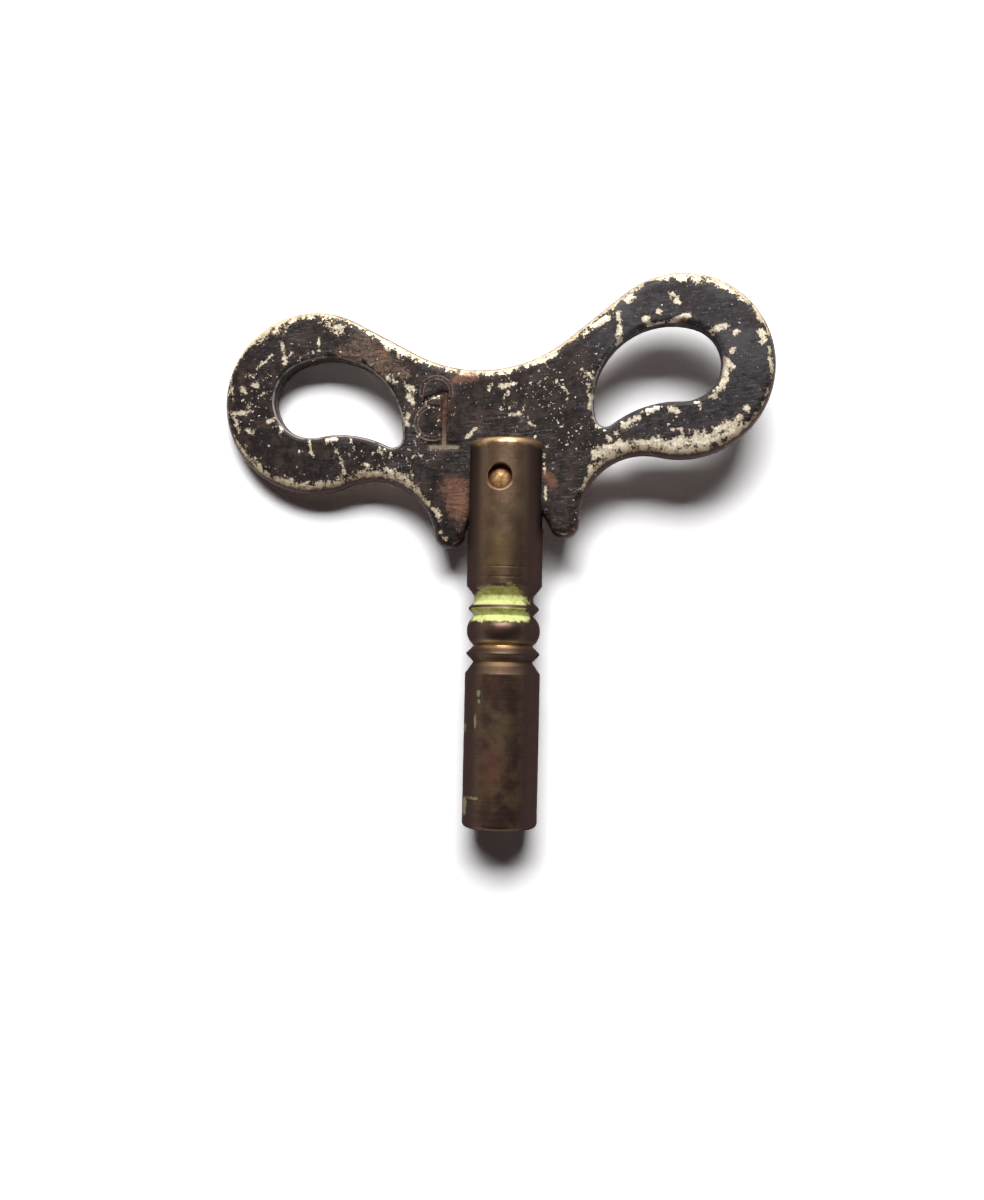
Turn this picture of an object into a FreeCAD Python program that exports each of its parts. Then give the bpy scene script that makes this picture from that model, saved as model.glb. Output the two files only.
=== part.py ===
import FreeCAD, Part
import math
import os
import re
import Sketcher

# Winding key for a clock: a stamped plate bow, a turned barrel slotted to take it,
# and the cross pin that holds the two together.
# Each piece is drawn in the key's own frame: origin at the middle of the socket's
# mouth, +Y along the barrel to the bow, X across the wings, Z square to the plate.
# The pieces are then placed as the key lies on a table, on its barrel and its left wing.

SIZES = {
    # barrel, measured along its axis from the mouth
    "barrel_length": 33.35,
    "barrel_radius": 3.25,
    "mouth_round": 0.45,
    "crown_round": 0.55,
    # turned waist of the barrel, from the mouth upwards
    "lower_length": 13.3,
    "shoulder_width": 1.0,
    "ridge_width": 1.4,
    "bead_width": 2.6,
    "collar_width": 1.2,
    "neck_width": 0.45,
    "flare_width": 0.9,
    "waist_radius": 2.53,
    "bead_radius": 3.17,
    "collar_radius": 3.05,
    "crest_land": 0.1,
    # square winding socket with its drilled pilot
    "socket_flats": 2.75,
    "socket_depth": 13.0,
    "pilot_diameter": 2.9,
    "pilot_depth": 14.5,
    "pilot_cone": 0.8,
    "socket_lead": 0.2,
    # slot in the upper end, and the cross pin through it
    "slot_depth": 7.55,
    "slot_clearance": 0.03,
    "pin_diameter": 2.1,
    "pin_drop": 3.38,
    "pin_offset": 0.3,
    "pin_sunk": 0.6,
    "pin_dome": 0.25,
    # bow plate, measured from the cross pin
    "plate_thickness": 1.9,
    "plate_round": 0.8,
    "bow_skew": 5.8,
    "valley_height": 9.7,
    "valley_radius": 12.0,
    "wing_across": 16.0,
    "wing_up": 8.33,
    "wing_radius": 7.95,
    "armpit_radius": 5.5,
    "ear_across": 5.0,
    "ear_down": 4.15,
    "ear_radius": 1.3,
    "notch_down": 5.5,
    # finger loop in each wing
    "loop_across": 16.15,
    "loop_up": 8.5,
    "loop_radius": 3.25,
    "loop_corner_across": 9.25,
    "loop_corner_up": 4.6,
    "loop_corner_radius": 0.85,
    "loop_crown_radius": 6.55,
    "loop_sill_radius": 9.2,
    "loop_edge": 0.3,
    # size figure stamped beside the slot, placed by the middle of its foot
    "figure_across": 4.87,
    "figure_up": 3.1,
    "figure_height": 5.15,
    "figure_stroke": 0.6,
    "figure_foot_reach": 1.4,
    "figure_flag_reach": 1.85,
    "figure_flag_drop": 0.75,
    "figure_depth": 0.25,
}

# Sketcher's numbers for a curve's ends, its centre, and the sketch's own origin and axis
START = 1
END = 2
CENTRE = 3
ORIGIN = -1
LEVEL_AXIS = -1
UPRIGHT_AXIS = -2
# Lengths below this are taken as nothing
TINY = 1e-6
SQUARE_TO_PLATE = FreeCAD.Vector(0, 0, 1)

doc = FreeCAD.newDocument("clock_key")


def make_sheet():
    """Write the driving dimensions to a spreadsheet, one row and one alias each."""
    table = doc.addObject("Spreadsheet::Sheet", "Sizes")
    for row, (name, value) in enumerate(SIZES.items(), start=1):
        table.set(f"A{row}", name)
        table.set(f"B{row}", str(value))
        table.setAlias(f"B{row}", name)
    doc.recompute()
    return table


sheet = make_sheet()


def bound(text):
    """Turn bare dimension names in an expression into cells of the sheet."""
    names = "|".join(sorted(SIZES, key=len, reverse=True))
    return re.sub(rf"\b({names})\b", r"Sizes.\1", text)


def value(text):
    """Work an expression in the dimensions out as a plain number."""
    answer = sheet.evalExpression(bound(text))
    return float(getattr(answer, "Value", answer))


def bind(item, name, text):
    item.setExpression(name, bound(text))


def make_body(name):
    body = doc.addObject("PartDesign::Body", name)
    body.Label = name
    return body


def sketch_on(body, role, name):
    """Start a sketch on one of a body's own origin planes."""
    plane = next(item for item in body.Origin.OriginFeatures if item.Role == role)
    sketch = body.newObject("Sketcher::SketchObject", name)
    sketch.AttachmentSupport = [(plane, "")]
    sketch.MapMode = "FlatFace"
    return sketch


def dimension(sketch, kind, first, second, text):
    """Hold a distance along one axis from the sketch's origin to a point.

    Its text is an expression in the dimensions, and the geometry already stands
    at that place, so the sign only says which of the two comes first.
    """
    amount = value(text)
    if amount < 0:
        text = "-(" + text + ")"
        number = sketch.addConstraint(Sketcher.Constraint(kind, first, second, ORIGIN, START, -amount))
    else:
        number = sketch.addConstraint(Sketcher.Constraint(kind, ORIGIN, START, first, second, amount))
    bind(sketch, f"Constraints[{number}]", text)


def hold_point(sketch, curve, place, across, up):
    """Hold a point at its two distances, or on an axis where a distance is nothing."""
    for kind, text, axis in (("DistanceX", across, UPRIGHT_AXIS), ("DistanceY", up, LEVEL_AXIS)):
        if abs(value(text)) < TINY:
            sketch.addConstraint(Sketcher.Constraint("PointOnObject", curve, place, axis))
        else:
            dimension(sketch, kind, curve, place, text)


def hold_radius(sketch, curve, text):
    number = sketch.addConstraint(Sketcher.Constraint("Radius", curve, value(text)))
    bind(sketch, f"Constraints[{number}]", text)


def point(across, up):
    return FreeCAD.Vector(value(across), value(up), 0)


def bulged(start, end, radius):
    """An arc of a given radius that bulges to the right of the way from start to end."""
    way = end - start
    rise = radius - math.sqrt(radius ** 2 - (way.Length / 2) ** 2)
    outwards = FreeCAD.Vector(way.y, -way.x, 0).normalize()
    return Part.Arc(start, (start + end) / 2 + outwards * rise, end)


def profile(sketch, corners):
    """Draw a closed profile anticlockwise through its corners.

    A corner is two expressions. A third one is the radius of a bulging arc that leads to it.
    """
    spots = [point(corner[0], corner[1]) for corner in corners]
    curves = []
    for number, corner in enumerate(corners):
        start, end = spots[number - 1], spots[number]
        if len(corner) == 3:
            curves.append(sketch.addGeometry(bulged(start, end, value(corner[2]))))
            hold_radius(sketch, curves[-1], corner[2])
        else:
            curves.append(sketch.addGeometry(Part.LineSegment(start, end)))
    for number, curve in enumerate(curves):
        sketch.addConstraint(Sketcher.Constraint("Coincident", curves[number - 1], END, curve, START))
        hold_point(sketch, curve, END, corners[number][0], corners[number][1])


def corners_of(left, foot, right, head):
    """The four corners of a rectangle, anticlockwise."""
    return [(left, foot), (right, foot), (right, head), (left, head)]


def circle_at(sketch, across, up, radius):
    circle = Part.Circle(point(across, up), FreeCAD.Vector(0, 0, 1), value(radius))
    number = sketch.addGeometry(circle)
    hold_point(sketch, number, CENTRE, across, up)
    hold_radius(sketch, number, radius)


def turn(body, kind, sketch, name):
    """Turn a sketch about the body's axis, which is the sketch's own upright axis."""
    turned = body.newObject("PartDesign::" + kind, name)
    turned.Profile = sketch
    turned.ReferenceAxis = (sketch, ["V_Axis"])
    turned.Angle = 360
    doc.recompute()


def pocket(body, sketch, name, depth=None):
    """Cut a sketch out of a body, to a depth or right through it both ways."""
    cut = body.newObject("PartDesign::Pocket", name)
    cut.Profile = sketch
    if depth is None:
        cut.Type = "ThroughAll"
        cut.SideType = "Symmetric"
    else:
        bind(cut, "Length", depth)
    before = cut.BaseFeature.Shape.Volume
    doc.recompute()
    if not cut.Shape.Volume < before:
        raise RuntimeError(name + " cuts nothing")


def meeting_centre(first, first_reach, second, second_reach, side):
    """Find the centre that stands at given distances from two others.

    side is +1 or -1 for the left or right of the way from the first to the second.
    """
    way = second - first
    gap = way.Length
    along = (first_reach ** 2 - second_reach ** 2 + gap ** 2) / (2 * gap)
    across = math.sqrt(first_reach ** 2 - along ** 2)
    way.normalize()
    return first + way * along + FreeCAD.Vector(-way.y, way.x, 0) * across * side


def towards(centre, radius, other):
    """The point of a circle that faces another point."""
    way = other - centre
    return centre + way.normalize() * radius


def bend(centre, start, end, turning):
    """An arc about a centre from start to end, and the end by which a ring enters it.

    turning is +1 where the ring goes anticlockwise, as every sketched arc does, or -1.
    """
    first, last = (start, end) if turning > 0 else (end, start)
    circle = Part.Circle(centre, FreeCAD.Vector(0, 0, 1), (start - centre).Length)
    angles = [math.atan2(spot.y - centre.y, spot.x - centre.x) for spot in (first, last)]
    return Part.ArcOfCircle(circle, *angles), START if turning > 0 else END


def straight(start, end):
    return Part.LineSegment(start, end), START


def draw_ring(sketch, links):
    """Draw arcs and lines that follow each other smoothly round a closed ring."""
    numbers = [sketch.addGeometry(curve) for curve, _ in links]
    for place, number in enumerate(numbers):
        leave = END if links[place - 1][1] == START else START
        enter = links[place][1]
        sketch.addConstraint(Sketcher.Constraint("Tangent", numbers[place - 1], leave, number, enter))
    return numbers


def wing_points(valley, notch, side):
    """Centres and meeting points of the outline's arcs on one side, +1 right or -1 left."""
    wing = point(f"{side} * wing_across", "wing_up")
    ear = point(f"{side} * ear_across", "-ear_down")
    wing_radius, ear_radius = value("wing_radius"), value("ear_radius")
    armpit_radius, valley_radius = value("armpit_radius"), value("valley_radius")
    armpit = meeting_centre(wing, wing_radius + armpit_radius, ear, ear_radius + armpit_radius, side)
    # The straight between valley and wing touches both circles, one from each side
    way = wing - valley
    turned = math.acos((valley_radius + wing_radius) / way.Length)
    square = math.atan2(way.y, way.x) - side * turned
    normal = FreeCAD.Vector(math.cos(square), math.sin(square), 0)
    return {
        "wing": wing,
        "ear": ear,
        "armpit": armpit,
        "valley_end": valley + normal * valley_radius,
        "wing_start": wing - normal * wing_radius,
        "wing_end": towards(wing, wing_radius, armpit),
        "ear_start": towards(ear, ear_radius, armpit),
        "ear_end": towards(ear, ear_radius, notch),
    }


def bow_outline(sketch):
    """Outline of the bow: valley, wings, armpits, ears and the notch between the ears."""
    valley = point("0 mm", "valley_height + valley_radius")
    notch = point("0 mm", "-notch_down")
    right = wing_points(valley, notch, 1)
    left = wing_points(valley, notch, -1)
    ring = draw_ring(sketch, [
        bend(valley, left["valley_end"], right["valley_end"], 1),
        straight(right["valley_end"], right["wing_start"]),
        bend(right["wing"], right["wing_start"], right["wing_end"], -1),
        bend(right["armpit"], right["wing_end"], right["ear_start"], 1),
        bend(right["ear"], right["ear_start"], right["ear_end"], -1),
        bend(notch, right["ear_end"], left["ear_end"], 1),
        bend(left["ear"], left["ear_end"], left["ear_start"], -1),
        bend(left["armpit"], left["ear_start"], left["wing_end"], 1),
        bend(left["wing"], left["wing_end"], left["wing_start"], -1),
        straight(left["wing_start"], left["valley_end"]),
    ])
    (valley_arc, _, right_wing, right_armpit, right_ear,
     notch_arc, left_ear, left_armpit, left_wing, _) = ring
    hold_point(sketch, valley_arc, CENTRE, "0 mm", "valley_height + valley_radius")
    hold_radius(sketch, valley_arc, "valley_radius")
    # The ears already bring the notch's centre to the middle
    dimension(sketch, "DistanceY", notch_arc, CENTRE, "-notch_down")
    for side, wing, armpit, ear in (
            (1, right_wing, right_armpit, right_ear), (-1, left_wing, left_armpit, left_ear)):
        hold_point(sketch, wing, CENTRE, f"{side} * wing_across", "wing_up")
        hold_radius(sketch, wing, "wing_radius")
        hold_radius(sketch, armpit, "armpit_radius")
        hold_point(sketch, ear, CENTRE, f"{side} * ear_across", "-ear_down")
        hold_radius(sketch, ear, "ear_radius")


def loop_outline(sketch, side):
    """Outline of one finger loop: a wide outer end, a tight inner corner, a crown and a sill."""
    end = point(f"{side} * loop_across", "loop_up")
    corner = point(f"{side} * loop_corner_across", "loop_corner_up")
    end_radius, corner_radius = value("loop_radius"), value("loop_corner_radius")
    crown_radius, sill_radius = value("loop_crown_radius"), value("loop_sill_radius")
    crown = meeting_centre(end, crown_radius - end_radius, corner, crown_radius - corner_radius, side)
    sill = meeting_centre(end, sill_radius + end_radius, corner, sill_radius + corner_radius, side)
    end_top = towards(end, -end_radius, crown)
    corner_top = towards(corner, -corner_radius, crown)
    corner_foot = towards(corner, corner_radius, sill)
    end_foot = towards(end, end_radius, sill)
    end_arc, crown_arc, corner_arc, sill_arc = draw_ring(sketch, [
        bend(end, end_foot, end_top, side),
        bend(crown, end_top, corner_top, side),
        bend(corner, corner_top, corner_foot, side),
        bend(sill, corner_foot, end_foot, -side),
    ])
    hold_point(sketch, end_arc, CENTRE, f"{side} * loop_across", "loop_up")
    hold_radius(sketch, end_arc, "loop_radius")
    hold_point(sketch, corner_arc, CENTRE, f"{side} * loop_corner_across", "loop_corner_up")
    hold_radius(sketch, corner_arc, "loop_corner_radius")
    hold_radius(sketch, crown_arc, "loop_crown_radius")
    hold_radius(sketch, sill_arc, "loop_sill_radius")


def size_figure(sketch):
    """The key's size figure, a plain 1 with a flag and a foot, about the middle of its foot."""
    stem_left, stem_right = "-figure_stroke / 2", "figure_stroke / 2"
    foot_left, foot_right = "-figure_foot_reach", "figure_foot_reach"
    flag_tip = "-figure_flag_reach"
    flag_top = "figure_height - figure_flag_drop"
    profile(sketch, [
        (foot_left, "0 mm"),
        (foot_right, "0 mm"),
        (foot_right, "figure_stroke"),
        (stem_right, "figure_stroke"),
        (stem_right, "figure_height"),
        (stem_left, "figure_height"),
        (flag_tip, flag_top),
        (flag_tip, flag_top + " - figure_stroke"),
        (stem_left, "figure_height - figure_stroke"),
        (stem_left, "figure_stroke"),
        (foot_left, "figure_stroke"),
    ])


def face_borders(shape, around_holes):
    """Names of the edges that border a plate's two flat faces, outside or around its holes."""
    borders = []
    for face in shape.Faces:
        if face.BoundBox.ZLength < TINY:
            for wire in face.Wires:
                if wire.isSame(face.OuterWire) != around_holes:
                    borders += wire.Edges
    return [f"Edge{number}" for number, edge in enumerate(shape.Edges, start=1)
            if any(edge.isSame(border) for border in borders)]


def make_bow():
    """The bow: a stamped plate with two looped wings, rims rounded over and loops edge-broken."""
    body = make_body("bow")
    outline = sketch_on(body, "XY_Plane", "bow_outline")
    bow_outline(outline)
    for side in (1, -1):
        loop_outline(outline, side)
    plate = body.newObject("PartDesign::Pad", "bow_plate")
    plate.Profile = outline
    plate.SideType = "Symmetric"
    bind(plate, "Length", "plate_thickness")
    doc.recompute()
    rounding = body.newObject("PartDesign::Fillet", "bow_rims")
    rounding.Base = (plate, face_borders(plate.Shape, around_holes=False))
    bind(rounding, "Radius", "plate_round")
    doc.recompute()
    loop_edges = body.newObject("PartDesign::Chamfer", "bow_loop_edges")
    loop_edges.Base = (rounding, face_borders(rounding.Shape, around_holes=True))
    bind(loop_edges, "Size", "loop_edge")
    doc.recompute()
    hole = sketch_on(body, "XY_Plane", "bow_pin_hole")
    circle_at(hole, "0 mm", "0 mm", "pin_diameter / 2")
    pocket(body, hole, "bow_pin_bore")
    figure = sketch_on(body, "XY_Plane", "size_figure")
    # The figure stands square to the barrel, so it is turned back by the bow's skew
    figure.AttachmentOffset = FreeCAD.Placement(
        FreeCAD.Vector(), FreeCAD.Rotation(SQUARE_TO_PLATE, -value("bow_skew")))
    bind(figure, "AttachmentOffset.Base.x", "-figure_across")
    bind(figure, "AttachmentOffset.Base.y", "figure_up")
    bind(figure, "AttachmentOffset.Base.z", "plate_thickness / 2")
    size_figure(figure)
    pocket(body, figure, "size_figure_stamp", "figure_depth")
    return body


def make_barrel():
    """The barrel: turned all over, slotted above for the bow and socketed below for the arbor."""
    body = make_body("barrel")
    shoulder = "lower_length + shoulder_width"
    ridge_top = shoulder + " + ridge_width"
    bead_top = ridge_top + " + bead_width"
    collar_top = bead_top + " + collar_width"
    neck_top = collar_top + " + neck_width"
    flare_top = neck_top + " + flare_width"
    bead_rise = "(bead_radius - waist_radius)"
    bead_arc = f"((bead_width / 2)^2 + {bead_rise}^2) / (2 * {bead_rise})"
    blank = sketch_on(body, "XY_Plane", "barrel_blank")
    profile(blank, [
        ("0 mm", "0 mm"),
        ("barrel_radius - mouth_round", "0 mm"),
        ("barrel_radius", "mouth_round", "mouth_round"),
        ("barrel_radius", "lower_length"),
        ("waist_radius", shoulder),
        ("bead_radius", f"{shoulder} + (ridge_width - crest_land) / 2"),
        ("bead_radius", f"{shoulder} + (ridge_width + crest_land) / 2"),
        ("waist_radius", ridge_top),
        ("waist_radius", bead_top, bead_arc),
        ("collar_radius", f"{bead_top} + (collar_width - crest_land) / 2"),
        ("collar_radius", f"{bead_top} + (collar_width + crest_land) / 2"),
        ("waist_radius", collar_top),
        ("waist_radius", neck_top),
        ("barrel_radius", flare_top),
        ("barrel_radius", "barrel_length - crown_round"),
        ("barrel_radius - crown_round", "barrel_length", "crown_round"),
        ("0 mm", "barrel_length"),
    ])
    turn(body, "Revolution", blank, "barrel_turning")
    pilot = sketch_on(body, "XY_Plane", "socket_pilot")
    profile(pilot, [
        ("0 mm", "0 mm"),
        ("pilot_diameter / 2 + socket_lead", "0 mm"),
        ("pilot_diameter / 2", "socket_lead"),
        ("pilot_diameter / 2", "pilot_depth"),
        ("0 mm", "pilot_depth + pilot_cone"),
    ])
    turn(body, "Groove", pilot, "socket_drilling")
    square = sketch_on(body, "XZ_Plane", "socket_square")
    half_flats = "socket_flats / 2"
    profile(square, corners_of(f"-{half_flats}", f"-{half_flats}", half_flats, half_flats))
    pocket(body, square, "socket_flats_cut", "socket_depth")
    slot = sketch_on(body, "YZ_Plane", "bow_slot")
    half_width = "(plate_thickness + slot_clearance) / 2"
    profile(slot, corners_of(
        "barrel_length - slot_depth", f"-{half_width}", "barrel_length + crown_round", half_width))
    pocket(body, slot, "bow_slot_cut")
    hole = sketch_on(body, "XY_Plane", "pin_hole")
    circle_at(hole, "-pin_offset", "barrel_length - pin_drop", "pin_diameter / 2")
    pocket(body, hole, "pin_bore")
    return body


def make_cross_pin():
    """The cross pin: a plain rod, domed at both ends, which lie below the barrel's surface."""
    body = make_body("cross_pin")
    apex = "(sqrt(barrel_radius^2 - pin_offset^2) - pin_sunk)"
    rim = f"({apex} - pin_dome)"
    dome = "((pin_diameter / 2)^2 + pin_dome^2) / (2 * pin_dome)"
    section = sketch_on(body, "XZ_Plane", "pin_section")
    profile(section, [
        ("0 mm", f"-{apex}"),
        ("pin_diameter / 2", f"-{rim}", dome),
        ("pin_diameter / 2", rim),
        ("0 mm", apex, dome),
    ])
    turn(body, "Revolution", section, "pin_turning")
    return body


def resting_lean():
    """Angle by which the key leans until its left wing's rim touches what the barrel lies on.

    The wing is round, so its lowest point is on the circle that the rim's rounding is
    swept round: that circle is as far below the plate's middle as its centre is, and
    reach is how far it stands out from the barrel's axis.
    """
    skew = math.radians(value("bow_skew"))
    wing_from_pin = value("wing_across") * math.cos(skew) + value("wing_up") * math.sin(skew)
    reach = value("pin_offset + wing_radius - plate_round") + wing_from_pin
    below = value("plate_thickness / 2 - plate_round")
    drop = value("barrel_radius - plate_round")
    return math.degrees(math.asin(drop / math.hypot(reach, below)) - math.atan2(below, reach))


def place_pieces(bow, barrel, cross_pin):
    """Set the pieces together, then lean the whole key on its left wing."""
    along_barrel = FreeCAD.Vector(0, 1, 0)
    key = FreeCAD.Placement(FreeCAD.Vector(), FreeCAD.Rotation(along_barrel, -resting_lean()))
    pin_place = point("-pin_offset", "barrel_length - pin_drop")
    barrel.Placement = key
    cross_pin.Placement = key * FreeCAD.Placement(pin_place, FreeCAD.Rotation())
    bow.Placement = key * FreeCAD.Placement(
        pin_place, FreeCAD.Rotation(SQUARE_TO_PLATE, value("bow_skew")))


def check_document():
    """Stop with a plain message if any object failed."""
    for item in doc.Objects:
        if "Invalid" in item.State or "Error" in item.State:
            raise RuntimeError(item.Name + " failed")


def export(piece):
    if piece.Shape.isNull() or not piece.Shape.isValid() or len(piece.Shape.Solids) != 1:
        raise RuntimeError(piece.Label + " is not one sound solid")
    piece.Shape.exportStep(f"parts/{piece.Label}.step")
    box = piece.Shape.BoundBox
    print(f"{piece.Label}: {piece.Shape.Volume:.1f} cubic mm, lowest {box.ZMin:.3f} mm")


bow = make_bow()
barrel = make_barrel()
cross_pin = make_cross_pin()
doc.recompute()
place_pieces(bow, barrel, cross_pin)
doc.recompute()
check_document()
print(f"lean {resting_lean():.3f} degrees")
os.makedirs("parts", exist_ok=True)
for piece in (bow, barrel, cross_pin):
    export(piece)
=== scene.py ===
import math

import bpy
from mathutils import Matrix, Vector, kdtree


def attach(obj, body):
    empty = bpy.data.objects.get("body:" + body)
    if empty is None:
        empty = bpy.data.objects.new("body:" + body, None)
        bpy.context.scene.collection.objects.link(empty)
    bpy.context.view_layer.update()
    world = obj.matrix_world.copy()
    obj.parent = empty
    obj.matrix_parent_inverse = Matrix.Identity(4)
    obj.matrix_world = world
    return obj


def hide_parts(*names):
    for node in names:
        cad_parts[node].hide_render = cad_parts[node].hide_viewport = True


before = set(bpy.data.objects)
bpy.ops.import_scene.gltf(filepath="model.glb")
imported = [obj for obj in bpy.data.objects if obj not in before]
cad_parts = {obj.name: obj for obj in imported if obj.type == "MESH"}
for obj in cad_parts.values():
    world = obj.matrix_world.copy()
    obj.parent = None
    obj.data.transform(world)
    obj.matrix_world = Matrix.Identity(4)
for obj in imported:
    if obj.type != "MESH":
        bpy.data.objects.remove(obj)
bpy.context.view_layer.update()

# The key lies on the table on its barrel and its left wing. Sizes are in millimetres:
# the barrel's are measured along it from its mouth, the bow's from the cross pin.
MM = 0.001
LEAN = math.radians(5.453)
SKEW = math.radians(5.8)
UPRIGHT = Matrix.Rotation(-LEAN, 4, "Y")

BARREL_RADIUS = 3.25
BARREL_LENGTH = 33.35
MOUTH_ROUND = 0.45
CROWN_ROUND = 0.55
WAIST_RADIUS = 2.53
BEAD_RADIUS = 3.17
COLLAR_RADIUS = 3.05
WAIST_START = 13.3
RIDGE_START = 14.3
BEAD_START = 15.7
BEAD_END = 18.3
COLLAR_END = 19.5
FLARE_START = 19.95
FLARE_END = 20.85
SCRIBED_LINES = (21.5, 22.36)
SCRIBED_HALF_WIDTH = 0.07
SCRIBED_DEPTH = 0.014
RIDGE_MIDDLE = (RIDGE_START + BEAD_START) / 2
COLLAR_MIDDLE = (BEAD_END + COLLAR_END) / 2
# Half the flat on top of ridge and collar, and how near an edge its neighbouring line lies
HALF_LAND = 0.07
EDGE_LINE = 0.06
EDGE_BEVEL = 0.05
TURNED_SIDES = 160

SLOT_DEPTH = 7.55
SLOT_WIDTH = 1.93
SOCKET_FLATS = 2.75
SOCKET_DEPTH = 13.0
PILOT_RADIUS = 1.45
PILOT_DEPTH = 14.5
PILOT_POINT = 0.8
MOUTH_SINK = 0.22
BORED_SIDES = 64
# The slot's tool reaches this far from the middle, clear of the barrel
CLEAR_OF_BARREL = 4.0

PIN_PLACE = Vector((-0.3, 29.97, 0)) * MM
PIN_RADIUS = 1.05
PIN_END = 2.65
PIN_DOME = 0.25
# The cross bore opens out beyond the barrel's skin: distance from the middle, radius
BORE_STATIONS = ((3.07, PIN_RADIUS), (3.31, 1.18), (4.1, 1.97))

PLATE_HALF = 0.95
PLATE_GRAIN = 0.13
LOOP_CROWN_CENTRE = Vector((14.886, 5.452))
LOOP_CROWN_RADIUS = 6.55
LOOP_SILL_CENTRE = Vector((14.672, -3.862))
LOOP_SILL_RADIUS = 9.2
LOOP_MARGIN = 0.45
PLATE_TO_KEY = UPRIGHT @ Matrix.Translation(PIN_PLACE) @ Matrix.Rotation(SKEW, 4, "Z")

# The size figure, in its own frame: foot's middle at the origin, square to the barrel
FIGURE_TO_PLATE = Matrix.Translation(Vector((-4.87, 3.1, 0)) * MM) @ Matrix.Rotation(-SKEW, 4, "Z")
# Its strokes: from and to, half width, depth, and half width of the wear in them
FIGURE = {
    "stem": ((0.0, 4.85, 0.0, 0.3), 0.31, 0.27, 0.32),
    "flag": ((-0.1, 4.85, -1.75, 4.1), 0.248, 0.22, 0.22),
    "foot": ((-1.15, 0.28, 1.15, 0.28), 0.2635, 0.24, 0.25),
}
# Arcs left of an earlier stamping: centre, radius, first angle and sweep in degrees
GHOST_ARCS = (((-0.72, 4.93), 1.30, -20, 215), ((-1.0, 2.3), 1.42, 100, 215))
GHOST_REACH = 0.3

# Half the width of the rim's bared band: where it runs along the key, how much more where it
# runs across, and on the edge itself; then its shares on upper rims and on the ears
RIM_LOSS = 0.17
RIM_LOSS_EXTRA = 0.46
EDGE_LOSS = 0.5
UPPER_SHARE = 0.9
EAR_SHARE = 0.4
# What counts as an upper rim, as an ear, as on the edge, and as the middle of the plate's side
UPPER_RIM = 0.3
EAR_START = -1.5
ON_EDGE = 0.02
NEAR_MIDDLE = 0.3
# Chips in the paint of the bow's face: from, to, half width
LEFT_WING_CHIPS = (
    (-14.3, 14.9, -13.0, 14.4, 0.45), (-19.0, 14.8, -18.0, 14.8, 0.26),
    (-18.4, 13.7, -18.1, 12.0, 0.26), (-20.8, 11.7, -19.3, 12.8, 0.15),
    (-21.8, 11.2, -21.3, 11.2, 0.24), (-21.2, 10.3, -20.8, 10.3, 0.26),
    (-22.1, 10.0, -22.0, 9.9, 0.34), (-21.7, 8.8, -21.8, 8.5, 0.20),
    (-23.2, 8.1, -21.8, 8.0, 0.24), (-20.1, 7.0, -19.4, 7.3, 0.22),
    (-18.7, 6.9, -19.1, 5.9, 0.24), (-22.0, 6.4, -21.5, 6.4, 0.26),
    (-21.5, 3.7, -21.2, 3.4, 0.34), (-16.6, 5.0, -16.4, 3.7, 0.18),
    (-15.0, 4.9, -14.3, 4.9, 0.26), (-14.5, 4.5, -13.8, 2.9, 0.15),
    (-13.9, 2.8, -13.7, 2.0, 0.20), (-18.4, 1.1, -15.4, 0.7, 0.43),
    (-14.5, 1.1, -13.8, 1.3, 0.34), (-12.1, 1.5, -9.8, 1.4, 0.55),
    (-9.6, 1.3, -8.1, 0.7, 0.55), (-10.5, 3.5, -9.6, 2.9, 0.26),
    (-15.0, 13.8, -15.1, 12.7, 0.16), (-12.0, 2.5, -11.6, 2.4, 0.17),
    (-23.1, 10.9, -23.1, 9.4, 0.24), (-23.1, 7.7, -22.8, 6.4, 0.24),
)
RIGHT_WING_CHIPS = (
    (7.8, 11.9, 10.2, 13.1, 0.34), (11.7, 14.3, 12.3, 14.5, 0.34),
    (11.1, 13.1, 10.9, 10.2, 0.28), (15.6, 14.3, 16.2, 13.6, 0.26),
    (14.3, 13.0, 14.5, 13.0, 0.26), (13.3, 12.6, 13.5, 11.9, 0.34),
    (14.2, 11.9, 14.8, 12.0, 0.26), (15.0, 11.8, 16.8, 12.4, 0.30),
    (12.2, 11.2, 13.2, 11.4, 0.17), (18.7, 10.9, 19.8, 11.1, 0.32),
    (20.6, 10.6, 20.9, 10.6, 0.26), (20.2, 8.9, 20.5, 9.0, 0.26),
    (19.7, 8.4, 20.2, 7.6, 0.28), (19.6, 8.1, 19.3, 6.2, 0.32),
    (18.9, 5.9, 18.4, 5.3, 0.34), (17.0, 5.0, 17.2, 4.6, 0.26),
    (14.8, 4.7, 15.2, 4.4, 0.30), (12.7, 4.6, 13.7, 4.9, 0.34),
    (10.2, 3.2, 11.9, 4.2, 0.34), (9.3, 2.8, 9.4, 2.6, 0.26),
    (8.3, 1.5, 10.4, 2.0, 0.55), (10.6, 1.9, 15.7, 1.7, 0.62),
    (15.7, 1.8, 17.7, 2.1, 0.50), (17.7, 2.1, 20.4, 3.2, 0.45),
    (10.6, 1.4, 15.7, 0.8, 0.55), (15.7, 0.9, 20.6, 2.6, 0.50),
    (14.8, 2.9, 15.5, 2.8, 0.18), (16.3, 2.5, 17.7, 2.5, 0.20),
    (22.8, 10.4, 22.9, 9.6, 0.30), (21.0, 4.1, 21.2, 3.9, 0.26),
    (23.4, 9.0, 23.4, 6.9, 0.17), (23.3, 6.4, 22.8, 5.0, 0.15),
)
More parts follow.
